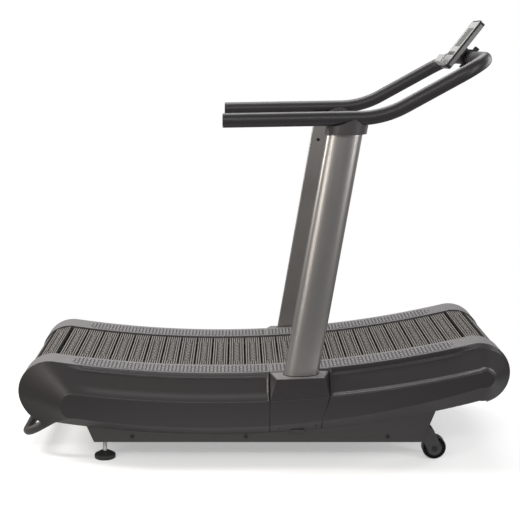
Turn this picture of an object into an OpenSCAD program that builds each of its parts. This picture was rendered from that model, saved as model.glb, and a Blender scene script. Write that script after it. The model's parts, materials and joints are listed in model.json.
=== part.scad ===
// Curved manual treadmill: a slat belt runs over two drums and a concave deck, driven by the runner.
// +X points forwards, to the console. +Y points to the runner's left. +Z points up. The floor is Z = 0.
// Side profiles are drawn in the XZ plane. The word offset below means the distance from a drum's
// centre, measured outwards, and the same distance carried along the two runs between the drums.

/* [Overall] */
// Half of the length over the two round ends
half_length = 888; // [860:1:920]
// Half of the width over the side covers
half_width = 416; // [400:1:430]
// Radius of the deck's concave curve, at the foot rails
deck_r = 4000; // [3600:50:4800]
// Radius of each round end, at the foot rails
end_r = 112; // [108:1:116]
// Height of the rear drum's axis
rear_axis_z = 243; // [235:1:250]
// Height of the front drum's axis
front_axis_z = 313; // [300:1:320]

/* [Slat belt] */
// Width of the running surface
belt_w = 432; // [400:2:440]
// Length of one slat along the belt
slat_len = 60; // [56:0.5:61]
// Slat spacing aimed for, before it is evened out round the loop
slat_pitch_aim = 63.5; // [62:0.5:66]
// Offset of the belt's neutral line, which is its pitch radius on the drums
pitch_r = 87; // [85:0.5:89]
// Offset of the treads' running surface
tread_r = 105; // [103:0.5:106]
// Radius of the returning run's sag
return_r = 6000; // [5600:100:7000]

/* [Foot rails] */
// Distance from the middle to each rail's inner edge
rail_in_y = 219; // [218:0.5:224]
// Distance from the middle to each rail's outer edge
rail_out_y = 337; // [330:1:338]
// Where the rear and the front part of each rail and cover meet
seam_x = 17; // [10:1:22]

/* [Side frame] */
// Distance from the middle to the skirt plates' inner face
skirt_y = 384; // [382:1:386]
// Thickness of the skirt plates
skirt_t = 6; // [4:1:7]
// Height of the skirt plates' lower edge
skirt_z = 70; // [66:1:76]

/* [Uprights] */
// Forward lean of the uprights
lean = 9.27; // [8:0.1:10]
// Depth of an upright along its side
upright_w = 123; // [115:1:126]
// Distance from the middle to an upright's flat inner face
upright_y = 347; // [347:1:348]
// How far an upright's crown stands out from its inner face
upright_d = 45; // [42:1:48]

/* [Handlebar] */
// Distance from the middle to each arm's centre line
arm_y = 384; // [380:1:388]
// Radius of the handlebar over its sleeve
grip_r = 25; // [23:0.5:26]
// Radius of the steel tube
tube_r = 21; // [19:0.5:22]
// Centre line of the crossbar: X and Z
crossbar = [762, 1434];
// Slope of the arms' rising part
rise = 29.1; // [26:0.1:32]
// Slope of the arms' level part
level = 1.3; // [0:0.1:2]
// Bend radius between the level and the rising part
bend_r = 340; // [300:10:380]
// Bend radius of the two front corners
corner_r = 110; // [90:5:130]

/* [Console] */
// Lean of the console from upright
console_lean = 37.4; // [30:0.1:42]
// Width, height and depth of the console
console_size = [160, 209, 22];

/* [Feet and wheels] */
// Place of the right rear foot: X and distance from the middle
foot_at = [-578, 352];
// Place of the right front wheel's axle: X, distance from the middle, Z
wheel_at = [616, 352, 43];

/* [Hidden] */

// The loop: two drums, joined above by the deck's arc and below by the returning run's arc.
axis_x = half_length - end_r;
rear_c = [-axis_x, rear_axis_z];
front_c = [axis_x, front_axis_z];
span = norm(front_c - rear_c);
mid_c = (rear_c + front_c) / 2;
up = [rear_c.y - front_c.y, front_c.x - rear_c.x] / span;
deck_k = deck_r + end_r;       // distance from the deck arc's centre to either drum's axis
return_k = return_r - pitch_r; // the same for the returning run
deck_c = mid_c + up * sqrt(deck_k * deck_k - span * span / 4);
return_c = mid_c + up * sqrt(return_k * return_k - span * span / 4);

function angle_of(v) = atan2(v.y, v.x);
deck_a0 = angle_of(rear_c - deck_c);
deck_a1 = angle_of(front_c - deck_c);
return_a0 = angle_of(front_c - return_c);
return_a1 = angle_of(rear_c - return_c);
front_a0 = deck_a1 + 180;
front_a1 = return_a0;
rear_a0 = return_a1 + 360;
rear_a1 = deck_a0 + 180;

function polar(c, r, a) = c + r * [cos(a), sin(a)];
function arc(c, r, a0, a1, n) = [for (i = [0:n]) polar(c, r, a0 + (a1 - a0) * i / n)];
function deck_at(x, off) = polar(deck_c, deck_k - off, -90 + asin((x - deck_c.x) / (deck_k - off)));
function deck_z(x, off) = deck_at(x, off).y;

// Lengths of the four stretches of the neutral line, and the even slat pitch.
rad = PI / 180;
top_len = (deck_k - pitch_r) * (deck_a1 - deck_a0) * rad;
front_len = pitch_r * (front_a0 - front_a1) * rad;
bottom_len = (return_k + pitch_r) * (return_a0 - return_a1) * rad;
rear_len = pitch_r * (rear_a0 - rear_a1) * rad;
loop_len = top_len + front_len + bottom_len + rear_len;
slat_count = round(loop_len / slat_pitch_aim);
slat_pitch = loop_len / slat_count;
starts = [0, top_len, top_len + front_len, top_len + front_len + bottom_len, loop_len];

// Place on the neutral line at length s from the rear top: [x, z, turn], where turn lays a slat's local
// +X along the belt's way and its local +Z outwards.
function on_loop(s) =
    s < starts[1] ? let (a = deck_a0 + s / (deck_k - pitch_r) / rad)
        concat(polar(deck_c, deck_k - pitch_r, a), a + 90) :
    s < starts[2] ? let (a = front_a0 - (s - starts[1]) / pitch_r / rad)
        concat(polar(front_c, pitch_r, a), a - 90) :
    s < starts[3] ? let (a = return_a0 - (s - starts[2]) / (return_k + pitch_r) / rad)
        concat(polar(return_c, return_k + pitch_r, a), a - 90) :
    let (a = rear_a0 - (s - starts[3]) / pitch_r / rad)
        concat(polar(rear_c, pitch_r, a), a - 90);

// An XZ profile given thickness along Y, from y0 to y1.
module slab(y0, y1) {
    translate([0, y1, 0]) rotate([90, 0, 0]) linear_extrude(y1 - y0) children();
}
// A rod along Y, from y0 to y1.
module rod(at, r, y0, y1) {
    translate([at.x, y1, at.y]) rotate([90, 0, 0]) cylinder(r = r, h = y1 - y0, $fn = 64);
}
module on_left() mirror([0, 1, 0]) children();
module on_both() {
    children();
    mirror([0, 1, 0]) children();
}
function rounded(w, h, r, n = 6) = concat(
    arc([w / 2 - r, h / 2 - r], r, 0, 90, n), arc([-w / 2 + r, h / 2 - r], r, 90, 180, n),
    arc([-w / 2 + r, -h / 2 + r], r, 180, 270, n), arc([w / 2 - r, -h / 2 + r], r, 270, 360, n));

// ---------------------------------------------------------------- frame
beam_out_y = upright_y;
beam_web = 6;
beam_top = 95;     // offset of the web's upper edge, inside the covers' slope
ledge_t = 6;       // the ledge that joins the web to the stand under the foot rail
stand_in_y = 328;
stand_out_y = 335.5;
rail_t = 4;        // thickness of the foot rails
bolt_xs = [-476, -68, 444];
outrigger_xs = [-560, -250, 330, 560];
post_cx = 118;

module skirt_plate() {
    top = [for (x = [610:-70:-650]) [x, deck_z(x, 22) + 14]];
    color("dimgray") difference() {
        slab(-skirt_y - skirt_t, -skirt_y) difference() {
            polygon(concat([[-613, skirt_z], [569, skirt_z], [624, skirt_z + 143]], top,
                [[-661, skirt_z + 112]]));
            translate([post_cx - 130, 150]) square([260, 200]);
        }
        for (x = bolt_xs) rod([x, 91], 4.2, -skirt_y - skirt_t - 1, -skirt_y + 1);
    }
}

module side_beam() {
    band = concat(arc(deck_c, deck_k - beam_top, deck_a0, deck_a1, 24),
        arc(deck_c, deck_k - 14, deck_a1, deck_a0, 24));
    ledge = concat(arc(deck_c, deck_k - beam_top, deck_a0, deck_a1, 24),
        arc(deck_c, deck_k - beam_top + ledge_t, deck_a1, deck_a0, 24));
    stand = concat(arc(deck_c, deck_k - end_r + rail_t + 0.3, deck_a0, deck_a1, 24),
        arc(deck_c, deck_k - beam_top + ledge_t, deck_a1, deck_a0, 24));
    color("dimgray") difference() {
        union() {
            slab(-beam_out_y, -beam_out_y + beam_web) union() {
                polygon(band);
                translate(rear_c) circle(46, $fn = 64);
                translate(front_c) circle(46, $fn = 64);
            }
            slab(-beam_out_y, -stand_in_y) polygon(ledge);
            slab(-stand_out_y, -stand_in_y) polygon(stand);
        }
        for (c = [rear_c, front_c]) rod(c, 22, -beam_out_y - 1, -beam_out_y + beam_web + 1);
        for (p = upright_bolt_places) rod(p, 5.2, -beam_out_y - 1, -beam_out_y + beam_web + 1);
    }
}

cross_xs = [-600, -300, 0, 300, 600];
module at_cross_tube(x) translate(deck_at(x, 20)) rotate(asin((x - deck_c.x) / deck_k)) children();

module cross_tubes() {
    inner = beam_out_y - beam_web;
    color("dimgray") {
        // Between the two runs, under the guide rails
        for (x = cross_xs) slab(-inner, inner) at_cross_tube(x) difference() {
            square([40, 40], center = true);
            square([34, 34], center = true);
        }
        // Below the returning run, from skirt to skirt
        for (x = [foot_at.x, 0, 480]) difference() {
            translate([x - 30, -skirt_y, 74]) cube([60, 2 * skirt_y, 30]);
            translate([x - 27, -skirt_y - 1, 77]) cube([54, 2 * skirt_y + 2, 24]);
            if (x == foot_at.x) for (y = [-foot_at.y, foot_at.y])
                translate([x, y, 60]) cylinder(r = stem_r + 0.06, h = 60, $fn = 64);
        }
        // Outriggers between the side beams and the skirts
        for (x = outrigger_xs, side = [-1, 1])
            translate([x - 15, side > 0 ? upright_y : -skirt_y, deck_z(x, 16) - 14])
                cube([30, skirt_y - upright_y, 24]);
    }
}

module lift_handle() {
    r = 16;
    half = 318;
    slope = 29.5;
    turn = 60;
    reach = 300;
    color("dimgray") difference() {
        translate([-871, 0, 76]) rotate([0, -slope, 0]) {
            rotate([90, 0, 0]) cylinder(r = r, h = 2 * (half - turn), center = true, $fn = 64);
            on_both() {
                translate([turn, -half + turn, 0]) rotate([0, 0, 180])
                    rotate_extrude(angle = 90, $fn = 96) translate([turn, 0]) circle(r, $fn = 48);
                translate([turn, -half, 0]) rotate([0, 90, 0]) cylinder(r = r, h = reach - turn, $fn = 64);
            }
        }
        slab(-half - 20, half + 20) at_cross_tube(cross_xs[0]) square([40, 40], center = true);
    }
}

guide_y = 208; // inner face of the guide rails
guide_off = 84; // offset of the side belts' inner face
bearing_r = 13;
bearing_count = 26;

module guide_rails() {
    color("gray") on_both() slab(-guide_y - 5, -guide_y) polygon(concat(
        arc(deck_c, deck_k - guide_off, deck_a0 + 1.3, deck_a1 - 1.3, 24),
        arc(deck_c, deck_k - 40.3, deck_a1 - 1.3, deck_a0 + 1.3, 24)));
}

module guide_bearings() {
    a0 = deck_a0 + 1.5;
    step = (deck_a1 - deck_a0 - 3) / (bearing_count - 1);
    color("silver") on_both() for (i = [0:bearing_count - 1]) {
        p = polar(deck_c, deck_k - guide_off + bearing_r + 0.3, a0 + i * step);
        rod(p, bearing_r, -191, -179);
        rod(p, 4, -guide_y, -191);
    }
}

shaft_r = 12.5;

module bearing_blocks() {
    y0 = -beam_out_y + beam_web;
    color("gray") on_both() for (c = [rear_c, front_c]) difference() {
        union() {
            rod(c, 40, y0, y0 + 6);
            rod(c, 28, y0, y0 + 20);
        }
        rod(c, shaft_r + 0.05, y0 - 1, y0 + 21);
    }
}

// ---------------------------------------------------------------- covers and rails
cover_t = 3;
cover_in_y = rail_out_y;
lip_y = skirt_y + skirt_t;
crease_off = 25;     // offset of the crease along the covers
lip_c = [-180, 3800.3]; // centre of the lower lip's arc
lip_r = 3700;
band_c = [-200, 3340.5]; // centre of the arc where the flat band ends and the lip begins
band_r = 3210;
function on_arc(c, r, x) = [x, c.y - sqrt(r * r - (x - c.x) * (x - c.x))];

// Each cover is a shell between a rim and a flat band. A station is [rim point, rim y, band point, inward].
function station(p, y, q, inward) = [p, y, q, inward / norm(inward)];
function lerp(a, b, t) = a + (b - a) * t;
function top_stations(x0, x1, q0, q1, n) = [for (i = [0:n]) let (x = lerp(x0, x1, i / n), p = deck_at(x, end_r))
    station(p, cover_in_y, deck_at(lerp(q0, q1, i / n), crease_off), p - deck_c)];
function end_stations(c, q, size, a0, a1, n) = [for (i = [1:n - 1]) let (a = lerp(a0, a1, i / n))
    station(polar(c, end_r, a), cover_in_y, q + [size.x * cos(a), size.y * sin(a)], c - polar(c, end_r, a))];
function bottom_stations(x0, x1, q0, q1, n) = [for (i = [0:n])
    station(on_arc(lip_c, lip_r, lerp(x0, x1, i / n)), lip_y, on_arc(band_c, band_r, lerp(q0, q1, i / n)), [0, 1])];

// The shell through a list of stations. The first half is above, and the second half returns below.
module cover_shell(st) {
    n = len(st);
    rim = [for (s = st) [s[0].x, -s[1], s[0].y]];
    band = [for (s = st) [s[2].x, -half_width, s[2].y]];
    function shift(i) = cover_t * ((i == 0 || i == n - 1) ? [0, 0, sign(st[i][3].y)] : [st[i][3].x, 0, st[i][3].y]);
    band_in = [for (i = [0:n - 1]) band[i] + [0, cover_t, 0] + shift(i)];
    rim_in = [for (i = [0:n - 1]) rim[i] + shift(i)];
    strip = [for (i = [0:n - 2], k = [0, 2, 3]) let (a = k * n + i, b = ((k + 1) % 4) * n + i)
        each [[a, b, b + 1], [a, b + 1, a + 1]]];
    ladder = [for (i = [0:n / 2 - 2]) let (j = n - 1 - i, a = n + i, b = n + j, c = 2 * n + i, d = 2 * n + j)
        each [[a, b, b - 1], [a, b - 1, a + 1], [c, d - 1, d], [c, c + 1, d - 1]]];
    last = n - 1;
    ends = [[0, 3 * n, 2 * n], [0, 2 * n, n], [n, 2 * n, 2 * n + last], [n, 2 * n + last, n + last],
        [n + last, 2 * n + last, 3 * n + last], [n + last, 3 * n + last, last]];
    polyhedron(points = concat(rim, band, band_in, rim_in), faces = concat(strip, ladder, ends), convexity = 6);
}

rear_stations = concat(
    top_stations(seam_x, polar(deck_c, deck_k - end_r, deck_a0).x, seam_x, -684, 9),
    end_stations(rear_c, [-688, 210], [40, 45], rear_a1, rear_a0, 11),
    bottom_stations(-745, seam_x, -680, seam_x, 9));
seam_top_x = 231;
seam_low_x = 205;
front_stations = concat(
    top_stations(seam_top_x, polar(deck_c, deck_k - end_r, deck_a1).x, seam_top_x, 768, 9),
    end_stations(front_c, [783, 312], [33, 31], front_a0, -66, 11),
    bottom_stations(745, seam_low_x, 768, seam_low_x, 9));

module rear_cover() color([0.2, 0.19, 0.19]) cover_shell(rear_stations);
module front_cover() color([0.2, 0.19, 0.19]) mirror([1, 0, 0]) cover_shell([for (s = front_stations)
    [[-s[0].x, s[0].y], s[1], [-s[2].x, s[2].y], [-s[3].x, s[3].y]]]);

post_side = [[seam_x, 106], [seam_x, deck_z(seam_x, crease_off)], [28, 312], [221, 318],
    [seam_top_x - 1, deck_z(seam_top_x, crease_off)],
    [seam_low_x - 1, on_arc(band_c, band_r, seam_low_x).y], [seam_low_x - 1, 121]];

module post_cover() {
    color([0.22, 0.21, 0.21]) difference() {
        slab(-half_width, -lip_y) polygon(post_side);
        slab(-half_width + cover_t, -lip_y + 1) polygon([post_side[0] + [3, -9], post_side[1] + [3, 0],
            post_side[2] + [3, -3], post_side[3] + [-3, -3], post_side[4] + [-3, 0], post_side[5] + [-3, 0],
            post_side[6] + [-3, -9]]);
        upright_shape(upright_w + 3, upright_d + 1.5, -1.5);
        for (p = post_screws) rod(p, 5.7, -half_width - 1, -half_width + cover_t + 1);
    }
    color([0.22, 0.21, 0.21]) difference() {
        slab(-lip_y, -cover_in_y) polygon([[28, 309], [28, 312], [221, 318], [221, 315]]);
        upright_shape(upright_w + 3, upright_d + 1.5, -1.5);
    }
}
post_screws = [[52, 124], [184, 135]];

rear_rail_end = 248;
front_rail_end = -74;

module rail(profile) {
    color([0.55, 0.54, 0.55]) slab(-rail_out_y, -rail_in_y) polygon(profile);
}
function rail_band(c, a_end, a_deck, x_seam) = let (a_seam = -90 + asin((x_seam - deck_c.x) / (deck_k - end_r)))
    concat(arc(c, end_r, a_end, a_deck + 180, 14), arc(deck_c, deck_k - end_r, a_deck, a_seam, 14),
        arc(deck_c, deck_k - end_r + rail_t, a_seam, a_deck, 14), arc(c, end_r - rail_t, a_deck + 180, a_end, 14));
module rear_rail() rail(rail_band(rear_c, rear_rail_end, deck_a0, seam_x - 0.5));
module front_rail() rail(rail_band(front_c, front_rail_end, deck_a1, seam_x + 0.5));

// ---------------------------------------------------------------- uprights and handlebar
upright_foot = [43.7, 170];
upright_len = 1036;
upright_wall = 4;
// A flat inner side, short flanks and a half-elliptical crown, growing by g all round
function crown(w, d, g) = let (flank = 13)
    concat([[-g, -g], [w + g, -g]], [for (t = [0:7.5:180])
        [w / 2 + (w / 2 + g) * cos(t), flank + (d - flank + g) * sin(t)]]);
module upright_shape(w, d, g) {
    translate([upright_foot.x, -upright_y, upright_foot.y]) rotate([0, lean, 0])
        translate([g < 0 ? g : 0, 0, 0]) mirror([0, 1, 0])
            linear_extrude(upright_len) polygon(crown(w, d, g < 0 ? 0 : g));
}
upright_bolt_places = [for (u = [32, 92], h = [55, 120])
    upright_foot + u * [cos(lean), -sin(lean)] + h * [sin(lean), cos(lean)]];

module upright() {
    color("silver") difference() {
        upright_shape(upright_w, upright_d, 0);
        translate([upright_foot.x, -upright_y, upright_foot.y]) rotate([0, lean, 0])
            mirror([0, 1, 0]) translate([upright_wall, upright_wall, -1]) linear_extrude(upright_len + 2)
                polygon(crown(upright_w - 2 * upright_wall, upright_d - 2 * upright_wall, 0));
        for (p = upright_bolt_places) rod(p, 5.2, -upright_y - upright_wall - 1, -upright_y + 1);
    }
}

bracket_side = [[199, 1173], [348, 1176], [354, 1211], [349, 1219], [334, 1227], [318, 1230], [300, 1228],
    [278, 1220], [255, 1210], [232, 1205], [204, 1203]];
module handle_bracket() {
    color([0.25, 0.24, 0.24]) difference() {
        intersection() {
            slab(-420, -335) polygon(bracket_side);
            translate([upright_foot.x, -upright_y, upright_foot.y]) rotate([0, lean, 0])
                translate([-8, 5, 0]) mirror([0, 1, 0]) linear_extrude(1200)
                    polygon(crown(upright_w + 22, 70, 0));
        }
        level_part(grip_r, 0);
        bend_part(grip_r, 0);
        upright_shape(upright_w + 0.2, upright_d + 0.1, -0.1);
    }
}

arm_end_x = -149;
level_dir = [cos(level), sin(level)];
rise_dir = [cos(rise), sin(rise)];
// The level line through the arm's rear end meets the rising line through the crossbar here.
arm_rear = [arm_end_x, 1221.1];
knee_run = ((crossbar.x - arm_rear.x) * rise_dir.y - (crossbar.y - arm_rear.y) * rise_dir.x)
    / (level_dir.x * rise_dir.y - level_dir.y * rise_dir.x);
knee = arm_rear + knee_run * level_dir;
knee_cut = bend_r * tan((rise - level) / 2);
level_len = knee_run - knee_cut;
rise_len = norm(crossbar - knee) - knee_cut - corner_r;
bend_start = arm_rear + level_len * level_dir;
bend_end = knee + knee_cut * rise_dir;

// A tube of radius r round a bore of radius hole. The bends are drawn a shade thinner in the wall, and
// the straight lengths run a little way into them.
bend_shy = 0.3;
into_bend = 1;
module ring(r, hole) difference() {
    circle(r, $fn = 64);
    if (hole > 0) circle(hole, $fn = 64);
}
module bend_ring(r, hole) ring(r - bend_shy, hole > 0 ? hole + bend_shy : 0);
module level_part(r, hole) translate([arm_rear.x, -arm_y, arm_rear.y]) rotate([0, 90 - level, 0])
    linear_extrude(level_len + into_bend) ring(r, hole);
module bend_part(r, hole) translate([bend_start.x, -arm_y, bend_start.y]) rotate([90, 0, 0])
    rotate([0, 0, level - 90]) translate([-bend_r, 0, 0]) rotate_extrude(angle = rise - level, $fn = 180)
        translate([bend_r, 0]) bend_ring(r, hole);
module arm(r, hole) {
    level_part(r, hole);
    bend_part(r, hole);
    translate([bend_end.x, -arm_y, bend_end.y]) rotate([0, -rise, 0]) {
        translate([-into_bend, 0, 0]) rotate([0, 90, 0])
            linear_extrude(rise_len + 2 * into_bend) ring(r, hole);
        translate([rise_len, corner_r, 0]) rotate([0, 0, -90])
            rotate_extrude(angle = 90, $fn = 96) translate([corner_r, 0]) bend_ring(r, hole);
    }
}
module handlebar(r, hole) {
    on_both() arm(r, hole);
    reach = arm_y - corner_r + into_bend;
    translate([crossbar.x, reach, crossbar.y]) rotate([90, 0, 0]) linear_extrude(2 * reach) ring(r, hole);
}

module handlebar_tube() color("gray") handlebar(tube_r, tube_r - 3);
module handlebar_sleeve() color([0.17, 0.16, 0.17]) handlebar(grip_r, tube_r);
module end_caps() color([0.12, 0.12, 0.12]) on_both()
    translate([arm_rear.x, -arm_y, arm_rear.y]) rotate([0, -90 - level, 0]) {
        cylinder(r = grip_r, h = 4, $fn = 64);
        translate([0, 0, -12]) cylinder(r = tube_r - 3.2, h = 12.5, $fn = 64);
    }

module upright_bolts() {
    top = [upright_foot.x + 1010 * sin(lean), upright_foot.y + 1010 * cos(lean)];
    color([0.15, 0.15, 0.15]) on_both() {
        for (p = upright_bolt_places) {
            rod(p, 5, -upright_y - 9, -upright_y + beam_web + 6);
            rod(p, 8.5, -upright_y + beam_web, -upright_y + beam_web + 6);
        }
        for (u = [30, 96], h = [948]) {
            p = upright_foot + u * [cos(lean), -sin(lean)] + h * [sin(lean), cos(lean)];
            rod(p, 6.5, -upright_y, -upright_y + 5);
        }
    }
}

module frame_bolts() {
    color([0.15, 0.15, 0.15]) on_both() {
        for (x = bolt_xs) {
            rod([x, 91], 4, -skirt_y - skirt_t, -skirt_y + 4);
            rod([x, 91], 7, -skirt_y - skirt_t - 3, -skirt_y - skirt_t);
        }
        for (p = post_screws) {
            rod(p, 5.5, -half_width, -half_width + cover_t);
            rod(p, 2.5, -half_width + cover_t, -skirt_y - skirt_t);
        }
    }
}

// ---------------------------------------------------------------- feet and wheels
stem_r = 7;
pad_r = 38;

module foot_pad() {
    color([0.1, 0.1, 0.1]) translate([foot_at.x, -foot_at.y, 0]) difference() {
        rotate_extrude($fn = 96) polygon([[0, 0], [pad_r - 2, 0], [pad_r, 3], [pad_r, 12], [pad_r - 3, 16],
            [15, 27], [11, 28], [0, 28]]);
        translate([0, 0, 14]) cylinder(r = stem_r + 0.06, h = 30, $fn = 64);
    }
}
module foot_stem() {
    color("silver") translate([foot_at.x, -foot_at.y, 14.1]) cylinder(r = stem_r, h = 105, $fn = 64);
}
module lock_nuts() {
    color("gray") on_both() translate([foot_at.x, -foot_at.y, 62]) difference() {
        cylinder(r = 12.5, h = 12, $fn = 6);
        translate([0, 0, -1]) cylinder(r = stem_r + 0.06, h = 14, $fn = 64);
    }
}

wheel_r = 43;
wheel_half = 20;
axle_r = 5;
bracket_y = -skirt_y; // the bracket's outer face, against the skirt

module wheel_bracket() {
    c = [wheel_at.x, wheel_at.z];
    side = concat([[540, 82], [556, 140], [588, 132], [609, 112], [622, 92]],
        [for (a = [40:-15:-140]) polar(c, 25, a)], [[577, 64]]);
    color("dimgray") difference() {
        union() {
            slab(bracket_y, bracket_y + 5) polygon(side);
            slab(bracket_y + 5, bracket_y + 62) polygon([[546, 96], [584, 122], [581, 127], [543, 101]]);
            slab(bracket_y + 57, bracket_y + 62) polygon(side);
        }
        rod(c, axle_r + 0.02, bracket_y - 1, bracket_y + 63);
    }
}
module wheel_axles() {
    c = [wheel_at.x, wheel_at.z];
    color("silver") on_both() {
        rod(c, axle_r, bracket_y - 4, bracket_y + 66);
        rod(c, 9, bracket_y - 4, bracket_y);
        rod(c, 9, bracket_y + 62, bracket_y + 66);
    }
}
module wheel() {
    c = [wheel_at.x, wheel_at.z];
    y = bracket_y + 31;
    color([0.08, 0.08, 0.08]) difference() {
        union() {
            rod(c, wheel_r, y - wheel_half, y + wheel_half);
            rod(c, 14, y - wheel_half - 5, y + wheel_half + 5);
        }
        rod(c, axle_r + 0.05, y - 30, y + 30);
    }
}

// ---------------------------------------------------------------- drums and belt
belt_y0 = 165;
belt_y1 = 205;

module drum(c) {
    color("silver") {
        rod(c, shaft_r, -345, 345);
        difference() {
            rod(c, 50, -170, 170);
            rod(c, 46, -163, 163);
        }
        difference() {
            rod(c, guide_off, -209, 209);
            rod(c, guide_off + 1, -161, 161);
            for (side = [-1, 1]) rod(c, guide_off - 7, side * 201 - 10, side * 201 + 10);
        }
        for (side = [-1, 1]) rod(c, 30, side * 200 - 9, side * 200 + 9);
    }
}

// One slat across the belt: an alloy plate with a rubber tread on it and a stiffening web below
module slat() {
    base = 90.2 - pitch_r;
    tread = tread_r - pitch_r;
    half = slat_len / 2;
    slab(-belt_w / 2, belt_w / 2) polygon([[-half, base], [half, base], [half, tread - 1.5],
        [half - 1.5, tread], [-half + 1.5, tread], [-half, tread - 1.5]]);
    slab(-157, 157) translate([-3, base - 17]) square([6, 17.5]);
}
module slats(k) {
    for (i = [0:slat_count - 1]) {
        s = (i + 0.5) * slat_pitch;
        if (s >= starts[k] && s < starts[k + 1]) {
            p = on_loop(s);
            translate([p.x, 0, p.y]) rotate([0, -p[2], 0]) slat();
        }
    }
}
module belt_arc(c, r0, r1, a0, a1) {
    color([0.1, 0.1, 0.1]) on_both() translate([c.x, -belt_y0, c.y]) rotate([90, 0, 0])
        rotate([0, 0, min(a0, a1)]) rotate_extrude(angle = abs(a1 - a0), $fn = 256)
            translate([r0, 0]) square([r1 - r0, belt_y1 - belt_y0]);
}
belt_in = guide_off;
belt_out = 90;
run_cut = 36; // length left open at each end of a long run, where the turning slats swing through
top_cut = run_cut / (deck_k - pitch_r) / rad;
low_cut = run_cut / (return_k + pitch_r) / rad;
wrap_gap = 0.6;

// ---------------------------------------------------------------- console
console_at = [677, 1392];
console_turn = [sin(console_lean), cos(console_lean)];
// The crossbar's centre in the console's own frame: behind the back, and up from the bottom
bar_back = (crossbar.x - console_at.x) * cos(console_lean) - (crossbar.y - console_at.y) * sin(console_lean);
bar_up = (crossbar.x - console_at.x) * sin(console_lean) + (crossbar.y - console_at.y) * cos(console_lean);
face_x = -console_size.z;
bezel_deep = 9;
screen_size = [112, 84];
screen_up = 132;
button_r = 8.5;
button_places = [[-45, 58], [-15, 58], [15, 58], [45, 58]];

module in_console() {
    translate([console_at.x, 0, console_at.y]) rotate([0, console_lean, 0]) children();
}
// A YZ outline given thickness along X, from x0 to x1
module plate(x0, x1) {
    translate([x0, 0, 0]) rotate([90, 0, 90]) linear_extrude(x1 - x0) children();
}
module console_outline(g) {
    translate([0, console_size.y / 2])
        polygon(rounded(console_size.x + 2 * g, console_size.y + 2 * g, 16 + g));
}

module console_back() color("silver") in_console() difference() {
    plate(-15, 0) console_outline(-2);
    plate(-16, -3) console_outline(-5);
    plate(-4, 1) translate([0, 160]) polygon(rounded(90.4, 50.4, 4.2));
}
module console_bezel() color([0.1, 0.1, 0.1]) in_console() difference() {
    plate(face_x, -15) console_outline(0);
    plate(face_x - 1, -14) console_outline(-6);
}
module console_face() color("silver") in_console() difference() {
    plate(face_x, face_x + 3) console_outline(-6.1);
    plate(face_x - 1, face_x + 4) translate([0, screen_up]) polygon(rounded(screen_size.x, screen_size.y, 5));
    for (p = button_places) plate(face_x - 1, face_x + 4) translate(p) circle(button_r + 0.3, $fn = 64);
}
module console_screen() color([0.1, 0.12, 0.13]) in_console()
    plate(face_x + 0.6, face_x + 3) translate([0, screen_up])
        polygon(rounded(screen_size.x - 0.3, screen_size.y - 0.3, 5));
module button(i) color("dimgray") in_console()
    plate(face_x - 2.2, face_x + 3) translate(button_places[i]) circle(button_r, $fn = 64);
module console_shelf() color([0.3, 0.3, 0.3]) in_console() {
    translate([0, 62, 0]) rotate([90, 0, 0]) linear_extrude(124) polygon([[face_x, 1], [face_x, 5],
        [face_x - 21, 5], [face_x - 21, 34], [face_x - 25, 34], [face_x - 25, 4], [face_x - 22, 1]]);
}
module battery_door() color("gray") in_console()
    plate(-3, 0.6) translate([0, 160]) polygon(rounded(90, 50, 4));

clamp_r = 32;
module clamp_ring(side) {
    difference() {
        union() {
            translate([bar_back, 14, bar_up]) rotate([90, 0, 0]) cylinder(r = clamp_r, h = 28, $fn = 64);
            translate([bar_back - 8, -14, bar_up - 47]) cube([16, 28, 94]);
        }
        translate([bar_back, 30, bar_up]) rotate([90, 0, 0]) cylinder(r = grip_r + 0.05, h = 60, $fn = 64);
        translate([side > 0 ? bar_back - 99.6 : bar_back - 0.4, -30, bar_up - 99]) cube([100, 60, 198]);
        for (s = [-1, 1]) translate([bar_back - 30, 0, bar_up + s * 40]) rotate([0, 90, 0])
            cylinder(r = 2.6, h = 60, $fn = 32);
    }
}
module console_bracket() color([0.12, 0.12, 0.12]) in_console() {
    clamp_ring(-1);
    difference() {
        union() {
            plate(0, 4) translate([0, bar_up]) polygon(rounded(70, 60, 6));
            translate([2, -14, bar_up - 22]) cube([bar_back - 10, 28, 44]);
        }
        translate([bar_back, 30, bar_up]) rotate([90, 0, 0]) cylinder(r = grip_r + 3, h = 60, $fn = 64);
    }
}
module clamp_cap() color([0.12, 0.12, 0.12]) in_console() clamp_ring(1);

module show(name) children();

skirt_plate();  // right_skirt_plate
on_left() skirt_plate();  // left_skirt_plate
side_beam();  // right_side_beam
on_left() side_beam();  // left_side_beam
cross_tubes();  // frame_cross_tubes
lift_handle();  // rear_lift_handle
guide_rails();
guide_bearings();
bearing_blocks();  // drum_bearing_blocks
rear_cover();  // right_rear_cover
on_left() rear_cover();  // left_rear_cover
post_cover();  // right_post_cover
on_left() post_cover();  // left_post_cover
front_cover();  // right_front_cover
on_left() front_cover();  // left_front_cover
rear_rail();  // right_rear_rail
on_left() rear_rail();  // left_rear_rail
front_rail();  // right_front_rail
on_left() front_rail();  // left_front_rail
upright();  // right_upright
on_left() upright();  // left_upright
handle_bracket();  // right_handle_bracket
on_left() handle_bracket();  // left_handle_bracket
handlebar_tube();
handlebar_sleeve();
end_caps();  // handlebar_end_caps
upright_bolts();
frame_bolts();
wheel_bracket();  // right_wheel_bracket
on_left() wheel_bracket();  // left_wheel_bracket
wheel_axles();
wheel();  // right_wheel
on_left() wheel();  // left_wheel
lock_nuts();  // foot_lock_nuts
foot_pad();  // right_foot_pad
on_left() foot_pad();  // left_foot_pad
foot_stem();  // right_foot_stem
on_left() foot_stem();  // left_foot_stem
drum(front_c);  // front_drum
drum(rear_c);  // rear_drum
color([0.4, 0.39, 0.37]) slats(0);  // top_run_slats
color([0.4, 0.39, 0.37]) slats(1);  // front_wrap_slats
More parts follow.
